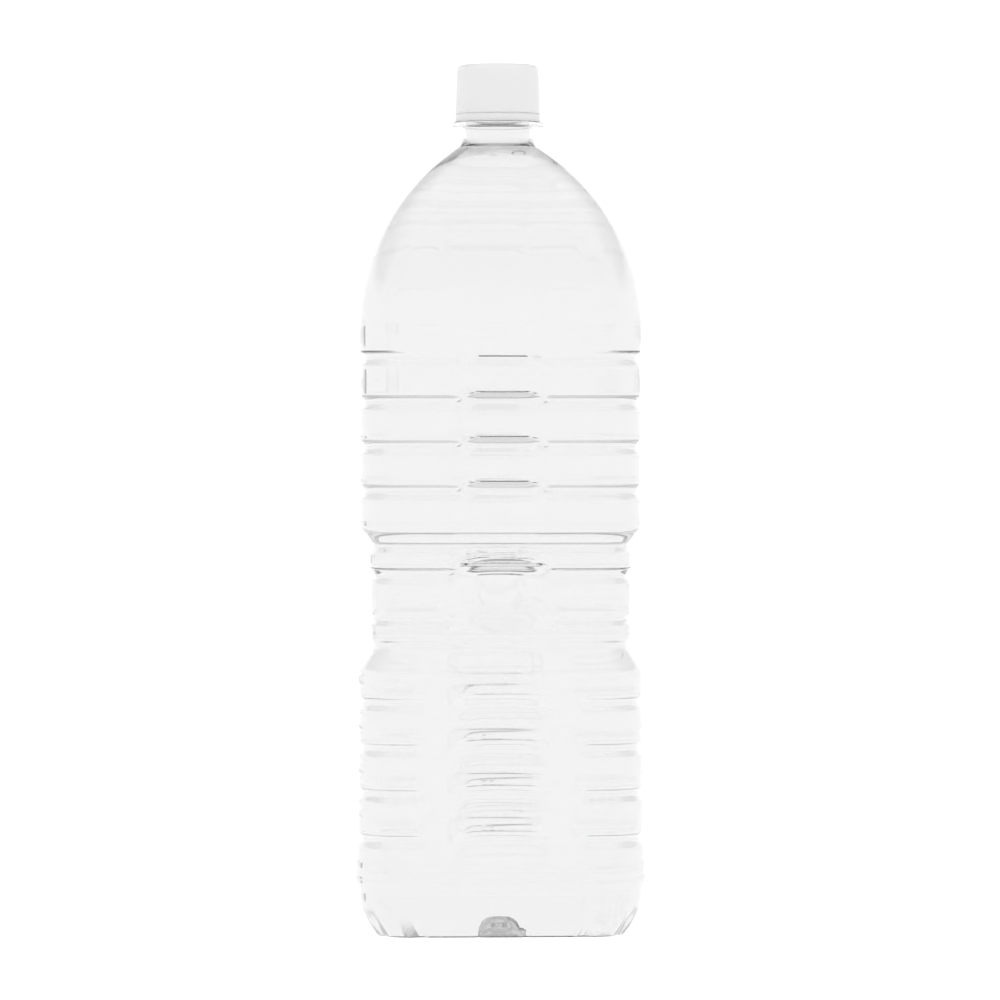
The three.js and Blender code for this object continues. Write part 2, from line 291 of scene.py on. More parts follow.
def upper_dimple(x, height, centre, crispness):
    """A hexagonal dimple: a steep facet above with crisp edges, soft facets below and at both ends."""
    from_middle = np.abs(x)
    lift = height - centre
    below_top = DIMPLE_TOP - DIMPLE_TIP_SLOPE * np.maximum(from_middle - DIMPLE_STRAIGHT, 0) - lift
    steepness = FACET_SLOPE + CRISP_SLOPE_GAIN * crispness
    facet = steepness * below_top
    foot = SOFT_SLOPE * (lift + DIMPLE_FOOT)
    end = SOFT_SLOPE * (DIMPLE_HALF_LENGTH - from_middle)
    rest = blunt_minimum(foot, end, np.full_like(x, DIMPLE_DEPTH), blend=0.10)
    depth = above_zero(blunt_minimum(facet, rest, blend=0.05), blend=0.05)
    if centre == UPPER_RIBS[0]:
        faint = ramp_between(0, 2.0, TOPMOST_LINE_HALF - from_middle)
        return TOPMOST_DEPTH * depth + crispness * faint * crease(TOPMOST_EDGE - lift, step=0.5, width=0.35)
    within = ramp_between(0, EDGE_FADE, np.minimum(rest, TOP_MARGIN + facet) + RIM_MARGIN)
    top_edge = crease(below_top, step=0.2, width=0.3)
    facet_foot = crease((facet - rest) / steepness, step=0.28, width=0.3)
    towards_tip = np.interp(from_middle, [TIP_GAIN_FROM, TIP_GAIN_TO], [1.0, TIP_GAIN])
    return depth + crispness * within * towards_tip * (top_edge + facet_foot)


print("upper dimples are", 2 * DIMPLE_HALF_LENGTH, "mm long and", DIMPLE_DEPTH, "mm deep")

# %% Lower dimples
OVAL_DEPTH = 2.0
OVAL_TOP, OVAL_FOOT = 5.9, 5.2         # above and below the centre
OVAL_FALL, OVAL_CLIMB = 4.6, 4.4       # lengths of the slopes
OVAL_ENDS = (12.5, 18.0)               # it fades out between these distances from the middle
OVAL_EDGE = 3.7                        # height of its crisp edge above the centre
OVAL_DROOP, OVAL_DROOP_AT = 0.9, 14.5  # its ends hang this much lower, at this distance


def lower_dimple(x, height, centre):
    """An oval dimple with long, soft walls and one crisp edge."""
    from_middle = np.abs(x)
    lift = height - centre + OVAL_DROOP * np.clip(from_middle / OVAL_DROOP_AT, 0, 1.3) ** 3
    fall = step_between(0, OVAL_FALL, OVAL_TOP - lift)
    climb = step_between(0, OVAL_CLIMB, lift + OVAL_FOOT)
    within = 1 - step_between(*OVAL_ENDS, from_middle)
    edge = crease(OVAL_EDGE - lift, step=0.38, width=0.8)
    return (OVAL_DEPTH * np.minimum(fall, climb) + edge) * within


print("lower dimples are", OVAL_TOP + OVAL_FOOT, "mm high")

# %% [markdown]
# ## The grip
#
# A hand lifts the bottle by its waist, with the thumb in a scoop in front and the fingers in one
# behind. The scoop starts at an "eyelid", a steep arched wall that the thumb pushes up against,
# and runs out below in a round end. It is one depth, multiplied by how far a point lies under
# the lid and by how far it lies between the cheeks. The front's lid also has crisp edges.

# %% Grip
LID_TOP = 136.7
LID_HEIGHT = 7.2                       # of the steep wall
LID_ARCH, LID_HALF_WIDTH = 3.4, 17.6   # the lid's ends hang this much lower, at this distance
LID_EDGES = {137.9: 0.20, 134.1: 0.50, 131.7: 0.10}    # height: step
LID_EDGE_DROOP, LID_EDGE_DROOP_AT = 0.7, 14.0          # the same for its crisp edges
OUTLINE_HALF_WIDTH, OUTLINE_FADE = 17.8, 3.2           # of the crease along the lid's rim
OUTLINE_GAIN = ([6.0, 12.0], [1.0, 1.4])               # it deepens away from the middle
SCOOP_HALF_WIDTH, SCOOP_FLARE = 15.6, 3.2              # below, and how much wider under the lid
SCOOP_FLARE_BETWEEN = (116, 133)
SCOOP_ROUND_FROM, SCOOP_ROUND_HEIGHT = 121.5, 12.8     # the round end starts here and is this long
SCOOP_SQUARENESS = 2.6                                 # 2 would make the end an ellipse
SCOOP_FLOOR = ([109, 121, 132], [3.0, 4.4, 5.6])       # depth by height
CHEEK_START = 0.42                                     # share of the half width that is floor


def cheeks(x, height):
    """1 on the scoop's floor, falling to 0 at its sides and round end."""
    half_width = SCOOP_HALF_WIDTH + SCOOP_FLARE * step_between(*SCOOP_FLARE_BETWEEN, height)
    below = np.clip((SCOOP_ROUND_FROM - height) / SCOOP_ROUND_HEIGHT, 0, None)
    power = SCOOP_SQUARENESS
    reach = ((np.abs(x) / half_width) ** power + below ** power) ** (1 / power)
    return 1 - ramp_between(CHEEK_START, 1.0, reach)


def grip(x, height, in_front):
    """Depth of the scoop: an arched lid above, sloping cheeks, and a round end below."""
    from_middle = np.abs(x)
    lid_top = LID_TOP - LID_ARCH * np.clip(from_middle / LID_HALF_WIDTH, 0, 1) ** 3
    lid = ramp_between(0, 1, (lid_top - height) / LID_HEIGHT)
    between_cheeks = cheeks(x, height)
    droop = LID_EDGE_DROOP * np.clip(from_middle / LID_EDGE_DROOP_AT, 0, 1.2) ** 4
    edges = sum(crease(edge - droop - height, step) for edge, step in LID_EDGES.items())
    edges = edges * ramp_between(0, 0.3, between_cheeks)
    outline = crease(lid_top - height, step=0.26, width=0.45)
    outline = outline * ramp_between(0, OUTLINE_FADE, OUTLINE_HALF_WIDTH - from_middle)
    outline = outline * np.interp(from_middle, *OUTLINE_GAIN)
    return np.interp(height, *SCOOP_FLOOR) * lid * between_cheeks + in_front * (edges + outline)


def face_relief(x, y, height):
    """Everything pressed into the front, and more softly into the rear."""
    front = y < 0
    crispness = np.where(front, 1.0, REAR_CRISPNESS)
    fields = [upper_dimple(x, height, centre, crispness) for centre in UPPER_RIBS]
    fields += [lower_dimple(x, height, centre) for centre in LOWER_RIBS]
    fields.append(grip(x, height, np.where(front, 1.0, 0.0)))
    return sum(fields)


print("scoop is", 2 * (SCOOP_HALF_WIDTH + SCOOP_FLARE), "mm wide under its lid")

# %% [markdown]
# ## The heel
#
# The heel rolls in to the foot in one curve. Short flutes are pressed through it, to keep the
# foot stiff and to let the hot plastic shrink evenly. They are shallow wedges faded in along
# the curve, which is all that shows of them from outside.

# %% Heel
HEEL_DRAW = 6.4             # how far the foot stands inside the top of the heel
HEEL_POWER = 1.8
# A flute's place is its distance from the middle of a side
MIDDLE_FLUTE = {"place": 10.0, "half_width": 2.0, "depth": 1.6}
CORNER_FLUTE = {"place": 34.0, "half_width": 2.8, "depth": 2.2}
MIDDLE_RUN, CORNER_RUN = (0.55, 1.0), (0, 0.6)    # they fade in between these shares of the heel


def heel(height):
    """How far the heel has drawn in: a curve that meets the foot at an angle."""
    fall = np.clip((HEEL_TOP - height) / HEEL_TOP, 0, 1)
    return HEEL_DRAW * fall ** HEEL_POWER


def flute(across, place, half_width, depth):
    """Depth of one V-shaped flute, by the distance across it."""
    return depth * np.clip(1 - np.abs(across - place) / half_width, 0, 1)


def flutes(x, y, height):
    """Short flutes through the heel, beside the middle of each side and near each corner."""
    across = np.minimum(np.abs(x), np.abs(y))
    run = np.clip(1 - height / HEEL_TOP, 0, 1)
    middle = flute(across, **MIDDLE_FLUTE) * step_between(*MIDDLE_RUN, run)
    corner = flute(across, **CORNER_FLUTE) * step_between(*CORNER_RUN, run)
    return middle + corner


print("foot is", round(2 * (HALF_WIDTH - HEEL_DRAW), 1), "mm wide")

# %% [markdown]
# ## Spreading the mesh where the shape needs it
#
# A clear object is judged by its refraction, and refraction shows every flat facet, so ribs and
# dimples need close rings while the plain shoulder does not. A subdivision surface would add
# the same detail everywhere and round the creases off. Two lists of spacings do better: one
# round the section and one up the wall. The same grid serves the outside of the wall, its
# inside and the water, so the surfaces stay parallel and the light passes cleanly.

# %% Columns round the section
def spread(stretches):
    """Positions along a line from stretches of (end, spacing), starting at the first end."""
    places = [stretches[0][0]]
    for end, spacing in stretches[1:]:
        count = max(1, round((end - places[-1]) / spacing))
        places.extend(np.linspace(places[-1], end, count + 1)[1:])
    return np.array(places)


def quarter_angles():
    """Directions from the middle of the front to the middle of the side, as angles from -Y."""
    front_end = HALF_WIDTH - CORNER_RADIUS
    side_end = HALF_DEPTH - CORNER_RADIUS
    front = spread([(0, 0), (8, 2.7), (19.0, 1.1), (26.5, 2.5), (front_end, 1.6)])
    corner_turn = np.radians(spread([(0, 0), (90, 9.0)]))[1:-1]
    corner_x = front_end + CORNER_RADIUS * np.sin(corner_turn)
    corner_y = side_end + CORNER_RADIUS * np.cos(corner_turn)
    side = spread([(0, 0), (side_end, 6.0)])[::-1]
    angles = [np.arctan2(front, HALF_DEPTH), np.arctan2(corner_x, corner_y), np.arctan2(HALF_WIDTH, side)]
    return np.concatenate(angles)


quarter = quarter_angles()
half_turn = np.concatenate([quarter, math.pi - quarter[-2:0:-1]])
ANGLES = np.concatenate([half_turn, half_turn + math.pi])
print(len(ANGLES), "columns")

# %% Rings up the wall
AT_CREASE = np.array([-0.3, -0.13, 0.13, 0.3])    # four rings follow each crease
AT_WIDE_CREASE = np.array([-0.5, -0.25, 0.25, 0.5])
RING_CLEARANCE = 0.25                             # other rings keep this far from them


def plain_heights():
    """Ring heights that are close over every rib, valley and dimple, and wide elsewhere."""
    stretches = [(0, 0), (0.5, 0.25), (HEEL_TOP, 1.0), (21, 1.1)]
    for centre in reversed(LOWER_RIBS):
        stretches += [(centre - 6.4, 2.6), (centre - 3.2, 1.1), (centre + 4.4, 0.9), (centre + 7.0, 1.3)]
    stretches += [(95.4, 2.6), (97.6, 0.8), (103, 1.5), (108.6, 0.8), (111, 1.0), (117, 0.8)]
    stretches += [(126, 1.5), (132.4, 0.8), (137.6, 0.4), (141.4, 0.8), (145.6, 1.0), (148.4, 0.8)]
    for centre in reversed(UPPER_RIBS):
        stretches += [(centre - 4.2, 2.8), (centre + 1.0, 0.9), (centre + 5.0, 0.6)]
    stretches += [(SHOULDER_FOOT, 1.8), (NECK_FOOT - 1.5, 1.9), (NECK_FOOT, 0.5)]
    return spread(stretches)


def ring_heights():
    """All ring heights, with close rings at each crease."""
    creases = list(LIP_EDGES) + list(LID_EDGES)
    creases += [centre + PANEL_EDGE for centre in UPPER_RIBS + LOWER_RIBS]
    creases += [centre + DIMPLE_TOP for centre in UPPER_RIBS[1:]] + [UPPER_RIBS[0] + TOPMOST_EDGE]
    creases += [centre + WAIST_EDGE for centre in (HIGH_WAIST_RIB, LOW_WAIST_RIB)]
    wide_creases = list(FLARE_EDGES) + [centre + OVAL_EDGE for centre in LOWER_RIBS]
    fine = [edge + AT_CREASE for edge in creases] + [edge + AT_WIDE_CREASE for edge in wide_creases]
    fine = np.concatenate(fine)
    plain = [height for height in plain_heights() if np.abs(fine - height).min() > RING_CLEARANCE]
    return np.sort(np.concatenate([plain, fine]))


HEIGHTS = ring_heights()
print(len(HEIGHTS), "rings")

# %% [markdown]
# ## From numbers to the wall
#
# The wall is drawn one ring at a time. For each direction round the axis, a point is put on the
# rounded rectangle of that height, drawn in by the ribs and the heel, and pressed in on the two
# wide sides by the dimples and the grip. The inside of the wall is the same surface, moved in
# along its own normals, so that its thickness is true on slopes as well.

# %% Section
TINY = 1e-9                 # keeps a division away from zero


def section(height, inset):
    """Half width, half depth, corner radius and swell of the section at each height."""
    on_shoulder = height > SHOULDER_FOOT
    climb = shoulder_climb(height)
    drawn = wall_line(height)
    foot_inset = WALL_LINE[-1][1]
    half_width = np.where(on_shoulder, shoulder_half(height, HALF_WIDTH - foot_inset), HALF_WIDTH - drawn)
    half_depth = np.where(on_shoulder, shoulder_half(height, HALF_DEPTH - foot_inset), HALF_DEPTH - drawn)
    corner = CORNER_RADIUS - np.where(on_shoulder, foot_inset, drawn)
    corner = corner + (SHOULDER_TOP_RADIUS - corner) * climb
    swell = PANEL_BOW * (1 - climb)
    return half_width - inset, half_depth - inset, corner - inset, swell


def section_points(height, angle, inset):
    """x and y of the swollen rounded rectangle in each direction."""
    half_width, half_depth, corner, swell = section(height, inset)
    across = np.maximum(np.abs(np.sin(angle)), TINY)
    deep = np.maximum(np.abs(np.cos(angle)), TINY)
    corner = np.clip(corner, 0, np.minimum(half_width, half_depth) - 1e-6)
    corner_x, corner_y = half_width - corner, half_depth - corner
    to_side, to_front = half_width / across, half_depth / deep
    reach = corner_x * across + corner_y * deep
    spare = np.maximum(reach ** 2 - (corner_x ** 2 + corner_y ** 2 - corner ** 2), 0)
    on_side = to_side * deep <= corner_y
    on_front = to_front * across <= corner_x
    distance = np.where(on_side, to_side, np.where(on_front, to_front, reach + np.sqrt(spare)))
    side_share = np.clip(to_side * deep / np.maximum(corner_y, 1e-6), 0, 1)
    front_share = np.clip(to_front * across / np.maximum(corner_x, 1e-6), 0, 1)
    rise = np.where(on_side, 1 - side_share ** 2, np.where(on_front, 1 - front_share ** 2, 0))
    distance = distance + swell * (rise - 1) / np.maximum(across, deep)
    return np.sin(angle) * distance, -np.cos(angle) * distance


print("corner radius is", round(float(section(180.0, 0)[2]), 1), "mm at 180 mm")

# %% Wall surface
def inset_by_normal(points, inset):
    """Moves a grid of points inwards, along its own normals."""
    if inset == 0:
        return points
    around = np.roll(points, -1, axis=1) - np.roll(points, 1, axis=1)
    up = np.gradient(points, axis=0)
    normal = np.cross(around, up)
    normal /= np.maximum(np.linalg.norm(normal, axis=-1, keepdims=True), TINY)
    return points - normal * inset


def wall_surface(heights, inset):
    """Rings of the bottle's wall, drawn in by inset, as an array of points."""
    height, angle = np.meshgrid(heights, ANGLES, indexing="ij")
    x, y = section_points(height, angle, 0)
    draw = ribs(x, y, height) + heel(height) + flutes(x, y, height)
    x, y = section_points(height, angle, draw)
    on_face = np.abs(y) > np.abs(x) * HALF_DEPTH / HALF_WIDTH
    y = y - np.sign(y) * np.where(on_face, face_relief(x, y, height), 0)
    return inset_by_normal(np.stack([x, y, height], axis=-1), inset)


outside = wall_surface(HEIGHTS, 0)
print("outside spans, mm:", outside.reshape(-1, 3).min(0).round(1), outside.reshape(-1, 3).max(0).round(1))

# %% [markdown]
# ## Building meshes from rings
#
# Every piece here is a stack of rings: the shell, the water, the cap and the band. One function
# joins a stack into quads and closes it with a fan at each end, and asks bmesh to turn all faces
# outwards. Smooth shading averages the faces that meet at a point, so a sharp corner would bend
# the light along the whole of a long face beside it. Close rings beside each corner, in the
# profiles below, keep that to a sliver.

# %% Mesh helper
def piece_from_rings(name, rings, closed_ends=True):
    """A smooth-shaded object from a list of rings of points, in millimetres."""
    count = len(rings[0])
    points = np.concatenate(rings) * MM
    index = np.arange(len(rings) * count).reshape(len(rings), count)
    low, high = index[:-1], index[1:]
    quads = np.stack([low, np.roll(low, -1, 1), np.roll(high, -1, 1), high], axis=-1).reshape(-1, 4)
    mesh = bpy.data.meshes.new(name)
    builder = bmesh.new()
    verts = [builder.verts.new(point) for point in points]
    for quad in quads:
        builder.faces.new([verts[i] for i in quad])
    if closed_ends:
        for ring in (index[0], index[-1]):
            middle = builder.verts.new(points[ring].mean(axis=0))
            for i, j in zip(ring, np.roll(ring, -1)):
                builder.faces.new([verts[i], verts[j], middle])
    bmesh.ops.recalc_face_normals(builder, faces=builder.faces)
    for face in builder.faces:
        face.smooth = True
    builder.to_mesh(mesh)
    builder.free()
    obj = bpy.data.objects.new(name, mesh)
    scene.collection.objects.link(obj)
    triangles = sum(len(polygon.vertices) - 2 for polygon in mesh.polygons)
    print(name, "has", triangles, "triangles")
    return obj


def circle(radius, height, angles):
    """A round ring of points at one height."""
    flat = np.full(len(angles), float(height))
    return np.stack([np.sin(angles) * radius, -np.cos(angles) * radius, flat], axis=-1)


# %% [markdown]
# ## The base
#
# The bottle stands on a flat foot ring. Inside it the plastic rises in a shallow dish to a small
# dome, and the preform's gate mark, where the melt went in, hangs from the dome's middle. All of
# it is scaled from the lowest ring of the wall, so that the dish starts as a rounded rectangle
# and ends round. A separate round base would have to be joined to the wall with uneven faces.

# %% Base
FOOT_WIDTH = 6.0                       # of the flat foot ring
DISH_TOP, DISH_MARGIN = 1.4, 1.5       # height of the dish beside the dome, and its distance from it
DISH_HEIGHT, DISH_FALL = 1.2, 0.4      # height further out, and how much is lost towards the foot
DISH_SHARES = (0.3, 0.6, 0.85)
DOME_RADIUS, DOME_HEIGHT, DOME_FOOT = 9.3, 9.2, 2.0
DOME_SHARES = (0.45, 0.6, 0.72, 0.82, 0.9, 0.96, 1.0)
GATE_MARK = [(0.9, 2.0), (1.8, 1.8), (2.8, 0.3)]    # radius, drop below the dome's top


def base_rings(foot_ring, lift):
    """The underside, from its middle outwards: the gate mark, the dome, the dish and the foot."""
    reach = np.linalg.norm(foot_ring[:, :2], axis=1, keepdims=True)
    direction = foot_ring[:, :2] / reach
    dish_edge = reach - FOOT_WIDTH
    profile = [(radius, DOME_HEIGHT - drop) for radius, drop in GATE_MARK]
    for share in DOME_SHARES:
        rise = (DOME_HEIGHT - DOME_FOOT) * (1 - share ** 4) ** 0.6
        profile.append((DOME_RADIUS * share, DOME_FOOT + rise))
    profile.append((DOME_RADIUS + DISH_MARGIN, DISH_TOP))
    for share in DISH_SHARES:
        profile.append((DOME_RADIUS + (dish_edge - DOME_RADIUS) * share, DISH_HEIGHT - DISH_FALL * share))
    profile.append((dish_edge, 0.0))
    return [np.column_stack([direction * radius, np.full(len(direction), height + lift)])
            for radius, height in profile]


print("dome is", 2 * DOME_RADIUS, "mm wide and", DOME_HEIGHT, "mm high")

# %% [markdown]
# ## The shell
#
# A two-litre bottle is blown from a preform of PET, a thick test tube with the neck already
# moulded on it. The neck keeps that thicker wall and its support ring, and the body is stretched
# to about 0.4 mm. The shell is one closed mesh: up the outside, over the rim of the neck, and
# down the inside again. A Solidify modifier could thicken a single sheet instead, but both faces
# are drawn here, because the wall grows from the shoulder into the neck and the bore has no ring.

# %% Neck
WALL = 0.4
NECK_RADIUS = 12.8
FINISH_RADIUS = 12.4                   # above the ring, where the cap screws on
BORE_RADIUS = 11.8
RING_RADIUS = 16.6
RING_FOOT, RING_TOP = 291.35, 293.05
STRAIGHT_FROM = 287.8                  # the neck and its bore are straight from here up
BESIDE_RING = 291.5                    # the bore has a ring of points here, level with the support ring
SHOULDER_WALL = 0.42                   # the wall thickens from this along the fillet

# Radius and height of the outside where the shoulder turns up into the neck
FILLET = [
    (14.95, 283.9), (14.45, 284.2), (14.0, 284.55), (13.6, 285.0),
    (13.3, 285.5), (13.05, 286.2), (12.87, 287.0),
]


def neck_profile_outside():
    """Radius and height up the outside of the neck, over the support ring, to the rim."""
    under_ring = [
        (NECK_RADIUS, STRAIGHT_FROM), (NECK_RADIUS, RING_FOOT - 0.7), (NECK_RADIUS, RING_FOOT - 0.35),
        (NECK_RADIUS, RING_FOOT - 0.1), (NECK_RADIUS + 0.02, RING_FOOT - 0.02),
        (NECK_RADIUS + 0.1, RING_FOOT), (NECK_RADIUS + 0.3, RING_FOOT),
        (RING_RADIUS - 0.5, RING_FOOT), (RING_RADIUS - 0.2, RING_FOOT),
    ]
    ring_edge = [
        (RING_RADIUS - 0.08, RING_FOOT + 0.03), (RING_RADIUS - 0.02, RING_FOOT + 0.1),
        (RING_RADIUS, RING_FOOT + 0.22), (RING_RADIUS, RING_FOOT + 0.45), (RING_RADIUS, RING_TOP - 0.45),
        (RING_RADIUS - 0.01, RING_TOP - 0.3), (RING_RADIUS - 0.06, RING_TOP - 0.15),
        (RING_RADIUS - 0.17, RING_TOP - 0.05), (RING_RADIUS - 0.35, RING_TOP), (RING_RADIUS - 0.7, RING_TOP),
    ]
    finish = [
        (FINISH_RADIUS + 0.5, RING_TOP), (FINISH_RADIUS + 0.2, RING_TOP),
        (FINISH_RADIUS + 0.05, RING_TOP + 0.05), (FINISH_RADIUS, RING_TOP + 0.2),
        (FINISH_RADIUS, RING_TOP + 0.5), (FINISH_RADIUS, NECK_TOP - 0.4),
        (FINISH_RADIUS - 0.05, NECK_TOP - 0.1), (FINISH_RADIUS - 0.2, NECK_TOP),
    ]
    return FILLET + under_ring + ring_edge + finish


def bore_profile():
    """Radius and height down the bore, to where the thin wall of the shoulder starts."""
    bore = [(BORE_RADIUS + 0.1, NECK_TOP), (BORE_RADIUS, NECK_TOP - 0.2)]
    bore += [(BORE_RADIUS, BESIDE_RING), (BORE_RADIUS, STRAIGHT_FROM)]
    walls = np.linspace(SHOULDER_WALL, NECK_RADIUS - BORE_RADIUS, len(FILLET))
    return bore + [(radius - wall, z) for (radius, z), wall in zip(FILLET, walls)][::-1]


print("neck wall is", round(NECK_RADIUS - BORE_RADIUS, 2), "mm, body wall", WALL, "mm")

# %% Shell
BASE_WALL = WALL + 0.05     # the base is stretched a little less than the body


def make_shell():
    """The whole shell as one stack of rings, from the gate mark up and down again to its inside."""
    inside = [ring for ring in wall_surface(HEIGHTS, WALL) if ring[0, 2] > WALL]
    neck = [circle(radius, z, ANGLES) for radius, z in neck_profile_outside() + bore_profile()]
    inner_base = base_rings(inside[0], BASE_WALL)[::-1]
    rings = base_rings(outside[0], 0) + list(outside) + neck + inside[::-1] + inner_base
    return piece_from_rings("bottle_shell", rings)


shell = make_shell()
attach(shell, "root")
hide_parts("bottle")

# %% [markdown]
# ## The water
#
# The water takes the form of whatever holds it. It is one solid up to its level at the foot of
# the neck, and it reaches a tenth of a millimetre into the plastic, so no film of air is left
# between the two for the light to catch on. Its surface is flat, and climbs the wall a little
# all round. A fluid simulation would give the same still surface after a long wait.

# %% Water
REACH_INTO_WALL = 0.1
MENISCUS = 0.65             # how far above its level the water climbs the wall


def make_water():
    """Water up to its level, a little larger than the inside of the shell."""
    body = [ring for ring in wall_surface(HEIGHTS, WALL - REACH_INTO_WALL) if ring[0, 2] > WALL]
    foot = base_rings(body[0], BASE_WALL - REACH_INTO_WALL)
    wetted = [point for point in bore_profile()[::-1] if point[1] < WATER_LEVEL + MENISCUS]
    climb = [(radius + REACH_INTO_WALL, z) for radius, z in wetted]
    rim, rim_height = climb[-1]
    surface = [(rim - 0.3, rim_height - 0.15), (rim - 0.8, WATER_LEVEL + 0.1)]
    surface += [(rim - 1.5, WATER_LEVEL + 0.03), (rim - 2.6, WATER_LEVEL)]
    surface += [(rim / 2, WATER_LEVEL), (1.0, WATER_LEVEL)]
    top = [circle(radius, z, ANGLES) for radius, z in climb + surface]
    return piece_from_rings("water_fill", foot + body + top)


water = make_water()
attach(water, "root")
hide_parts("water")

# %% [markdown]
# ## The cap and its tamper band
#
# The cap is injection-moulded polyethylene with a smooth side and a rounded top edge. A slit cut
# after moulding leaves the band under it hanging on short bridges until the bottle is first
# opened. The slit is finer than a hair, so it shows as one faint line. Both are round shapes, so
# each is a profile carried round a circle, as Blender's Screw modifier would do, but with close
# points beside each edge.

# %% Cap
FULL_CIRCLE = 2 * math.pi
CAP_ANGLES = np.linspace(0, FULL_CIRCLE, 240, endpoint=False)
CAP_DROP = 0.9              # the cap's foot is this much lower than the solid one's
CAP_TOP_DROP = 0.4          # and its top this much
CAP_TOP = cap_high[2] - CAP_TOP_DROP
CAP_FOOT = cap_low[2] - CAP_DROP
CAP_FOOT_RADIUS = cap_high[0]
CAP_TAPER = 0.45            # its top is this much smaller, so that it leaves the mould
CAP_TOP_RADIUS = CAP_FOOT_RADIUS - CAP_TAPER
CAP_CORNER = 2.2
CAP_BORE = 13.3
CAP_PLATE = CAP_TOP - 1.4   # underside of its top


def make_cap():
    """The cap: its underside, its inner wall, its side, the rounded corner and the top."""
    inside = [(1.0, CAP_PLATE), (CAP_BORE - 0.4, CAP_PLATE)]
    inside += [(CAP_BORE, CAP_PLATE - 0.4), (CAP_BORE, CAP_FOOT)]
    side = [(CAP_FOOT_RADIUS - 0.03, CAP_FOOT)]
    side += [(CAP_FOOT_RADIUS, CAP_FOOT + rise) for rise in (0, 0.03, 0.12, 1.0)]
    corner = []
    for turn in np.radians([0, 10, 22, 38, 54, 70, 84, 90]):
        drawn = CAP_CORNER * (1 - math.cos(turn))
        corner.append((CAP_TOP_RADIUS - drawn, CAP_TOP - CAP_CORNER * (1 - math.sin(turn))))
    top = [((CAP_TOP_RADIUS - CAP_CORNER) * share, CAP_TOP) for share in (0.9, 0.5, 0.1)]
    return piece_from_rings("screw_cap", [circle(r, z, CAP_ANGLES) for r, z in inside + side + corner + top])


cap = make_cap()
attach(cap, "root")
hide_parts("cap")

# %% Tamper band
SLIT = 0.01
BAND_CLEARANCE = 0.15       # over the support ring
BAND_FOOT, BAND_TOP = RING_TOP + BAND_CLEARANCE, CAP_FOOT - SLIT
BAND_RADIUS = band_high[0]
BAND_BORE = 13.4


def make_band():
    """The band: one closed profile, whose first and last rings are then joined."""
    outline = [
        (BAND_BORE, BAND_TOP - 0.1), (BAND_BORE, BAND_FOOT + 0.1), (BAND_BORE + 0.1, BAND_FOOT),
        (BAND_RADIUS - 0.1, BAND_FOOT), (BAND_RADIUS, BAND_FOOT + 0.08), (BAND_RADIUS, BAND_FOOT + 0.16),
        (BAND_RADIUS, BAND_TOP - 0.12), (BAND_RADIUS, BAND_TOP - 0.03), (BAND_RADIUS, BAND_TOP),
        (BAND_RADIUS - 0.03, BAND_TOP), (BAND_BORE + 0.1, BAND_TOP), (BAND_BORE, BAND_TOP - 0.1),
    ]
    rings = [circle(radius, z, CAP_ANGLES) for radius, z in outline]
    made = piece_from_rings("tamper_band_ring", rings, closed_ends=False)
    builder = bmesh.new()
    builder.from_mesh(made.data)
    bmesh.ops.remove_doubles(builder, verts=builder.verts, dist=1e-6)
    bmesh.ops.recalc_face_normals(builder, faces=builder.faces)
    builder.to_mesh(made.data)
    builder.free()
    return made


band = make_band()
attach(band, "root")
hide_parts("tamper_band")

# %% [markdown]
# ## Materials
#
# Each finish starts from what the real thing is. All three are one Principled shader with its
# values set on the shader itself, because nothing on this bottle is printed, woven or worn: the
# plastics come out of polished moulds, and the water is plain.

# %% Material helpers
def linear(hex_colour):
    """An sRGB hex colour as linear RGBA."""
    channels = [int(hex_colour[i:i + 2], 16) / 255 for i in (1, 3, 5)]
    return [c / 12.92 if c <= 0.04045 else ((c + 0.055) / 1.055) ** 2.4 for c in channels] + [1.0]


def material(name, **values):
    """A new node material, with its Principled shader's sockets set by name, _ for each space."""
    made = bpy.data.materials.new(name)
    made.use_nodes = True
    shader = next(node for node in made.node_tree.nodes if node.type == "BSDF_PRINCIPLED")
    for key, value in values.items():
        shader.inputs[key.replace("_", " ")].default_value = value
    print("material", name)
    return made


# %% [markdown]
# ### Clear PET
#
# Polyethylene terephthalate, blown against a polished steel mould: glass-clear and glossy. It
# bends light a little more than glass does, with an index of refraction of 1.57. The faint grey
# of its colour is counted at each surface that the light crosses, and gives the bottle its body
# against the white backdrop.

# %% Clear PET
pet = material("clear_blow_moulded_pet", Base_Color=linear("#EDEDED"), Roughness=0.0, IOR=1.57,
               Transmission_Weight=1.0)
shell.data.materials.append(pet)

# %% [markdown]
# ### Water
#
# Still drinking water has no colour at this thickness and an index of refraction of 1.333. That
# it is nearer to the plastic's than air is makes the inside of the wall almost vanish, which is
# what tells a full bottle from an empty one.

# %% Still water
clear_water = material("still_water", Base_Color=linear("#FFFFFF"), Roughness=0.0, IOR=1.333,
                       Transmission_Weight=1.0)
water.data.materials.append(clear_water)

# %% [markdown]
# ### White polyethylene
#
# High-density polyethylene, injection-moulded with white pigment. Light enters it and comes out
# nearby, so it looks slightly milky, and the mould leaves it satin rather than glossy.
# Subsurface scattering over about a millimetre does that, evenly for all three colours.

# %% White polyethylene
white_pe = material("white_moulded_polyethylene", Base_Color=linear("#E0E0E0"), Roughness=0.42, IOR=1.54,
                    Subsurface_Weight=1.0, Subsurface_Scale=0.0012, Subsurface_Radius=(1.0, 1.0, 1.0))
cap.data.materials.append(white_pe)
band.data.materials.append(white_pe)

# %% [markdown]
# ## The light table
#
# Packaging is photographed on a sheet of white acrylic that is lit from below, so that the foot
# stands on light. A large plane just under the bottle, which glows and is dark in itself, does
# the same without catching a shadow.

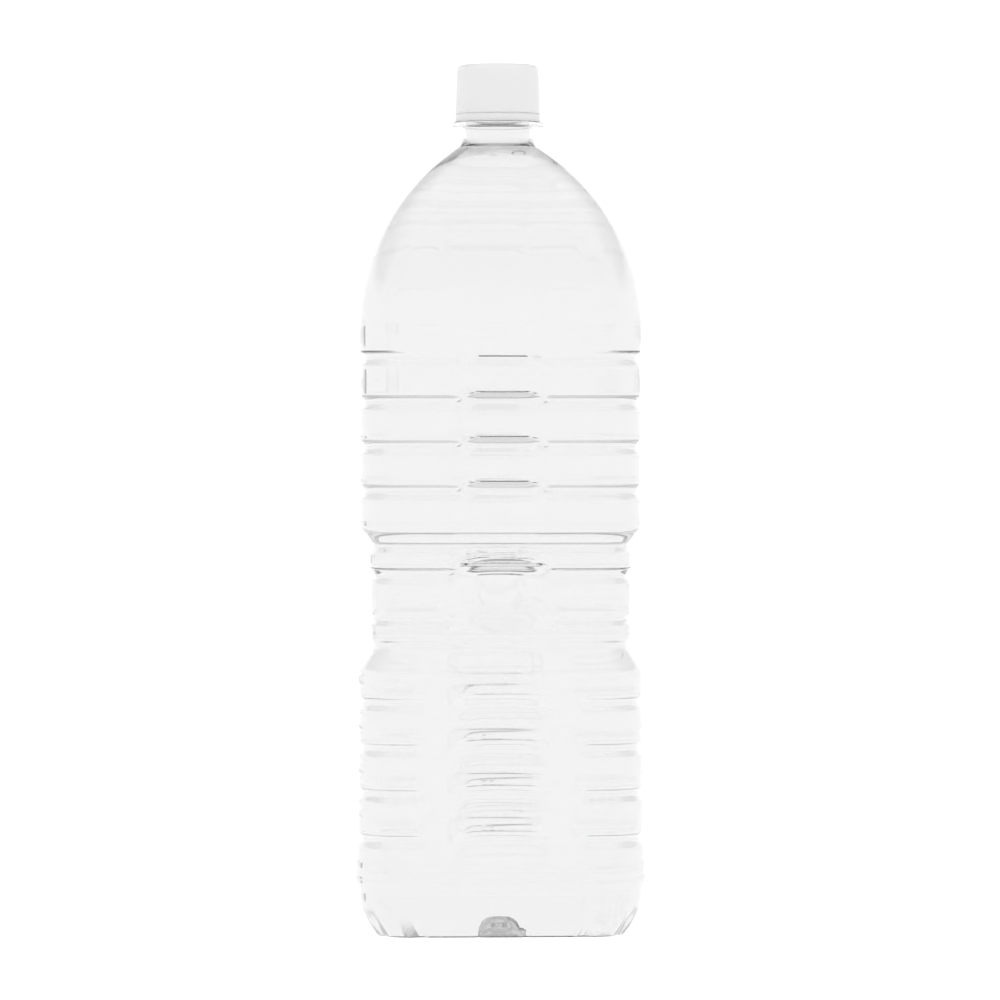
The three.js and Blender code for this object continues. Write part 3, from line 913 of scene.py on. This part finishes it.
# %% Light table
FLOOR_SIZE = 400.0
FLOOR_GAP = 0.0003          # metres below the foot, so that the two never share a plane
FLOOR_GLOW = 1.17
half = FLOOR_SIZE / 2
floor_corners = [(-half, -half, 0), (half, -half, 0), (half, half, 0), (-half, half, 0)]
floor_mesh = bpy.data.meshes.new("light_table")
floor_mesh.from_pydata(floor_corners, [], [(0, 1, 2, 3)])
floor = bpy.data.objects.new("light_table", floor_mesh)
floor.location.z = -FLOOR_GAP
scene.collection.objects.link(floor)
acrylic = material("white_acrylic_light_table", Base_Color=linear("#404040"), Roughness=0.9,
                   Specular_IOR_Level=0.0, Emission_Color=linear("#FFFFFF"), Emission_Strength=FLOOR_GLOW)
floor_mesh.materials.append(acrylic)

# %% [markdown]
# ## The studio
#
# In an all-white room a clear bottle would vanish, so a product photographer lights it from a
# bright backdrop and keeps something dark just beyond it. The bottle's plain walls bend light
# by less than 17 degrees and show the backdrop. Its creases bend it by more, reach the dark
# belt between the backdrop and the overhead soft box, and draw the bottle's lines in grey.
#
# The room is a world shader: ramps over the direction of a ray. Real lamps would do as well,
# but each edge here is one number in degrees, which makes it easy to match to the lines.

# %% Lights by direction
# (degrees above the table, light) on the far side: backdrop, dark belt, soft box overhead
BACKDROP = [(0, 1.0), (16, 1.0), (17.5, 0.8), (20, 0.76), (23, 0.4), (38, 0.4), (60, 0.97), (90, 1.0)]
# The same on the camera's side, where a white room fills the belt
ROOM = [(0, 1.0), (16, 1.0), (24, 0.85), (38, 0.85), (60, 0.97), (90, 1.0)]
# (degrees round from the nearest axis, light) near the horizon: a bright panel faces each side,
# the corners between them are a little dimmer, and two opposite corners have narrow dark gaps
PANELS = [
    (-45, 0.8), (-38, 0.85), (-25, 1.0), (29.8, 1.0),
    (30.6, 0.38), (33.4, 0.38), (34.2, 0.85), (45, 0.85),
]
HORIZON = [(0.035, 1.0), (0.06, 0.0)]      # (sine of the height, share of the panels)
FAR_SIDE = [(0.35, 0.0), (0.5, 1.0)]       # (place from near to far, share of the backdrop)
SKY_STRENGTH = 1.22
print("dark belt from", BACKDROP[4][0], "to", BACKDROP[5][0], "degrees")

# %% Node helpers
def add_node(tree, kind, links=(), sockets=(), **properties):
    """Adds a node with its properties, its (socket, value) pairs and its (socket, output) links."""
    node = tree.nodes.new(kind)
    for name, value in properties.items():
        setattr(node, name, value)
    for socket, value in sockets:
        node.inputs[socket].default_value = value
    for socket, source in links:
        tree.links.new(source, node.inputs[socket])
    return node


def set_stops(ramp, places):
    """Gives a ramp its stops, from (place, light) pairs."""
    stops = ramp.color_ramp.elements
    while len(stops) < len(places):
        stops.new(0.5)
    for stop, (place, light) in zip(stops, places):
        stop.position = place
        stop.color = (light, light, light, 1)


world = bpy.data.worlds.new("soft_studio")
scene.world = world
world.use_nodes = True
sky = world.node_tree
background = next(node for node in sky.nodes if node.type == "BACKGROUND")
rays = add_node(sky, "ShaderNodeTexCoord")
split = add_node(sky, "ShaderNodeSeparateXYZ", [(0, rays.outputs["Generated"])])
x_part, y_part, z_part = (split.outputs[axis] for axis in "XYZ")
print("a ray's direction has", len(split.outputs), "parts")

# %% [markdown]
# ### Light by height
#
# The z part of a ray's direction is the sine of its angle above the table, so a ramp over it is
# light by height. There are two, one for each side of the bottle, and the y part blends them.

# %% Light by height
TO_RAMP = [(1, 0.5), (2, 0.5)]      # times a half, plus a half: takes -1 to 1 onto a ramp's 0 to 1


def by_height(stops):
    """Stops in degrees above the table, as places along a ramp over the z part."""
    return [(math.sin(math.radians(degrees)), light) for degrees, light in stops]


room = add_node(sky, "ShaderNodeValToRGB", [(0, z_part)])
set_stops(room, by_height(ROOM))
backdrop = add_node(sky, "ShaderNodeValToRGB", [(0, z_part)])
set_stops(backdrop, by_height(BACKDROP))
depth_place = add_node(sky, "ShaderNodeMath", [(0, y_part)], TO_RAMP, operation="MULTIPLY_ADD")
far_side = add_node(sky, "ShaderNodeValToRGB", [(0, depth_place.outputs[0])])
set_stops(far_side, FAR_SIDE)
from_above = add_node(
    sky, "ShaderNodeMix", [(0, far_side.outputs[0]), (6, room.outputs[0]), (7, backdrop.outputs[0])],
    data_type="RGBA")
print("far side is lit by", len(BACKDROP), "stops, the camera's side by", len(ROOM))

# %% [markdown]
# ### Light round the horizon
#
# Near the horizon the shorter of the x and y parts over the longer is the tangent of the angle
# from the nearest axis. The sign of their product tells one pair of corners from the other, so
# that only one pair has the dark gaps: they darken the body's left edge and leave its right one.

# %% Light round the horizon
across = add_node(sky, "ShaderNodeMath", [(0, x_part)], operation="ABSOLUTE").outputs[0]
along = add_node(sky, "ShaderNodeMath", [(0, y_part)], operation="ABSOLUTE").outputs[0]
shorter = add_node(sky, "ShaderNodeMath", [(0, across), (1, along)], operation="MINIMUM").outputs[0]
longer = add_node(sky, "ShaderNodeMath", [(0, across), (1, along)], operation="MAXIMUM").outputs[0]
slant = add_node(sky, "ShaderNodeMath", [(0, shorter), (1, longer)], operation="DIVIDE").outputs[0]
product = add_node(sky, "ShaderNodeMath", [(0, x_part), (1, y_part)], operation="MULTIPLY").outputs[0]
diagonal = add_node(sky, "ShaderNodeMath", [(0, product)], operation="SIGN").outputs[0]
turn = add_node(sky, "ShaderNodeMath", [(0, slant), (1, diagonal)], operation="MULTIPLY").outputs[0]
turn_place = add_node(sky, "ShaderNodeMath", [(0, turn)], TO_RAMP, operation="MULTIPLY_ADD")
panels = add_node(sky, "ShaderNodeValToRGB", [(0, turn_place.outputs[0])])
set_stops(panels, [(0.5 + math.tan(math.radians(degrees)) / 2, light) for degrees, light in PANELS])
steepness = add_node(sky, "ShaderNodeMath", [(0, z_part)], operation="ABSOLUTE")
near_horizon = add_node(sky, "ShaderNodeValToRGB", [(0, steepness.outputs[0])])
set_stops(near_horizon, HORIZON)
studio_light = add_node(
    sky, "ShaderNodeMix",
    [(0, near_horizon.outputs[0]), (6, from_above.outputs[2]), (7, panels.outputs[0])],
    data_type="RGBA", blend_type="MULTIPLY")
sky.links.new(studio_light.outputs[2], background.inputs["Color"])
background.inputs["Strength"].default_value = SKY_STRENGTH
print("world has", len(sky.nodes), "nodes")

# %% [markdown]
# ## Passing light through clear walls
#
# A ray through the full body crosses six surfaces, and some bounce inside its walls as well. A
# ray that runs out of bounces ends in black, so they are raised. The plain display transform
# keeps the white backdrop white.

# %% Bounces and display
BOUNCES = 32
scene.view_settings.view_transform = "Standard"
scene.cycles.max_bounces = BOUNCES
scene.cycles.transmission_bounces = BOUNCES
scene.cycles.glossy_bounces = BOUNCES
print("rays may bounce", BOUNCES, "times")

# %% [markdown]
# ## The camera
#
# The photograph looks taken from about two metres away with a long lens, at the height of the
# bottle's upper ribs, and a shade from the left. The lens is worked out from the distance, so
# that a millimetre at the bottle's axis is 2.75 pixels wide.

# %% Camera
CAMERA_DISTANCE = 2.145     # metres
CAMERA_HEIGHT = 0.196
CAMERA_YAW = math.radians(-2.6)
PICTURE_PIXELS = 1000
PIXELS_PER_MM = 2.75
PICTURE_WIDTH = PICTURE_PIXELS / PIXELS_PER_MM * MM
FOOT_ROW = 929              # the row of pixels in which the axis meets the table
AXIS_OFFSET_PIXELS = 2.3    # the picture's middle lies this far to the right of the axis
AIM_HEIGHT = (FOOT_ROW - PICTURE_PIXELS / 2) / PIXELS_PER_MM * MM
AIM_SIDE = AXIS_OFFSET_PIXELS / PIXELS_PER_MM * MM
SENSOR_WIDTH = 36.0
camera_data = bpy.data.cameras.new("camera")
camera_data.sensor_width = SENSOR_WIDTH
camera_data.lens = SENSOR_WIDTH * CAMERA_DISTANCE / PICTURE_WIDTH
camera = bpy.data.objects.new("camera", camera_data)
scene.collection.objects.link(camera)
eye = Vector((CAMERA_DISTANCE * math.sin(CAMERA_YAW), -CAMERA_DISTANCE * math.cos(CAMERA_YAW), CAMERA_HEIGHT))
aim = Vector((AIM_SIDE, 0, AIM_HEIGHT))
camera.location = eye
camera.rotation_euler = (aim - eye).to_track_quat("-Z", "Y").to_euler()
scene.camera = camera
print("lens:", round(camera_data.lens, 1), "mm")
